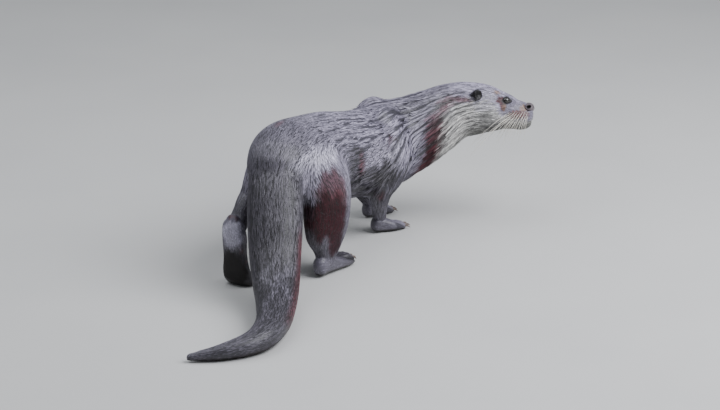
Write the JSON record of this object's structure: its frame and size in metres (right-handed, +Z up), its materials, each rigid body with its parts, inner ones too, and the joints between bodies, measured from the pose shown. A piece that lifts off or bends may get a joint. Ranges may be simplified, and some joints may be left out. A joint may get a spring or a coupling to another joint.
{
  "type": "river otter",
  "caption": "Life-size still model of a wet river otter on flat ground in mid step, head turned to its right, long tail laid behind it.",
  "frame": {"origin": "on the floor, under the middle of the whole animal's bounding box", "axes": "+X along the body from the hips towards the shoulders, +Y to the animal's left, +Z up"},
  "size_m": [0.8802, 0.2838, 0.2389],
  "materials": {
    "coat": "short wet fur",
    "paw": "thinly furred, with bare damp soles and webs",
    "nose": "bare damp skin",
    "eye": "polished dark eye",
    "claw": "smooth dark horn"
  },
  "bodies": {
    "root": {"thigh_right": "coat", "shank_right": "coat", "hind_foot_right": "paw", "hind_foot_right_claw_1": "claw", "hind_foot_right_claw_2": "claw", "hind_foot_right_claw_3": "claw", "hind_foot_right_claw_4": "claw", "hind_foot_right_claw_5": "claw", "upper_arm_right": "coat", "forearm_right": "coat", "forepaw_right": "paw", "forepaw_right_claw_1": "claw", "forepaw_right_claw_2": "claw", "forepaw_right_claw_3": "claw", "forepaw_right_claw_4": "claw", "forepaw_right_claw_5": "claw", "thigh_left": "coat", "shank_left": "coat", "hind_foot_left": "paw", "hind_foot_left_claw_1": "claw", "hind_foot_left_claw_2": "claw", "hind_foot_left_claw_3": "claw", "hind_foot_left_claw_4": "claw", "hind_foot_left_claw_5": "claw", "upper_arm_left": "coat", "forearm_left": "coat", "forepaw_left": "paw", "forepaw_left_claw_1": "claw", "forepaw_left_claw_2": "claw", "forepaw_left_claw_3": "claw", "forepaw_left_claw_4": "claw", "forepaw_left_claw_5": "claw", "tail_tip": "coat", "tail_lower": "coat", "tail_middle": "coat", "tail_root": "coat", "rump": "coat", "belly": "coat", "chest": "coat", "neck": "coat", "head": "coat", "nose": "nose", "eye_right": "eye", "ear_right": "coat", "eye_left": "eye", "ear_left": "coat"}
  },
  "joints": []
}
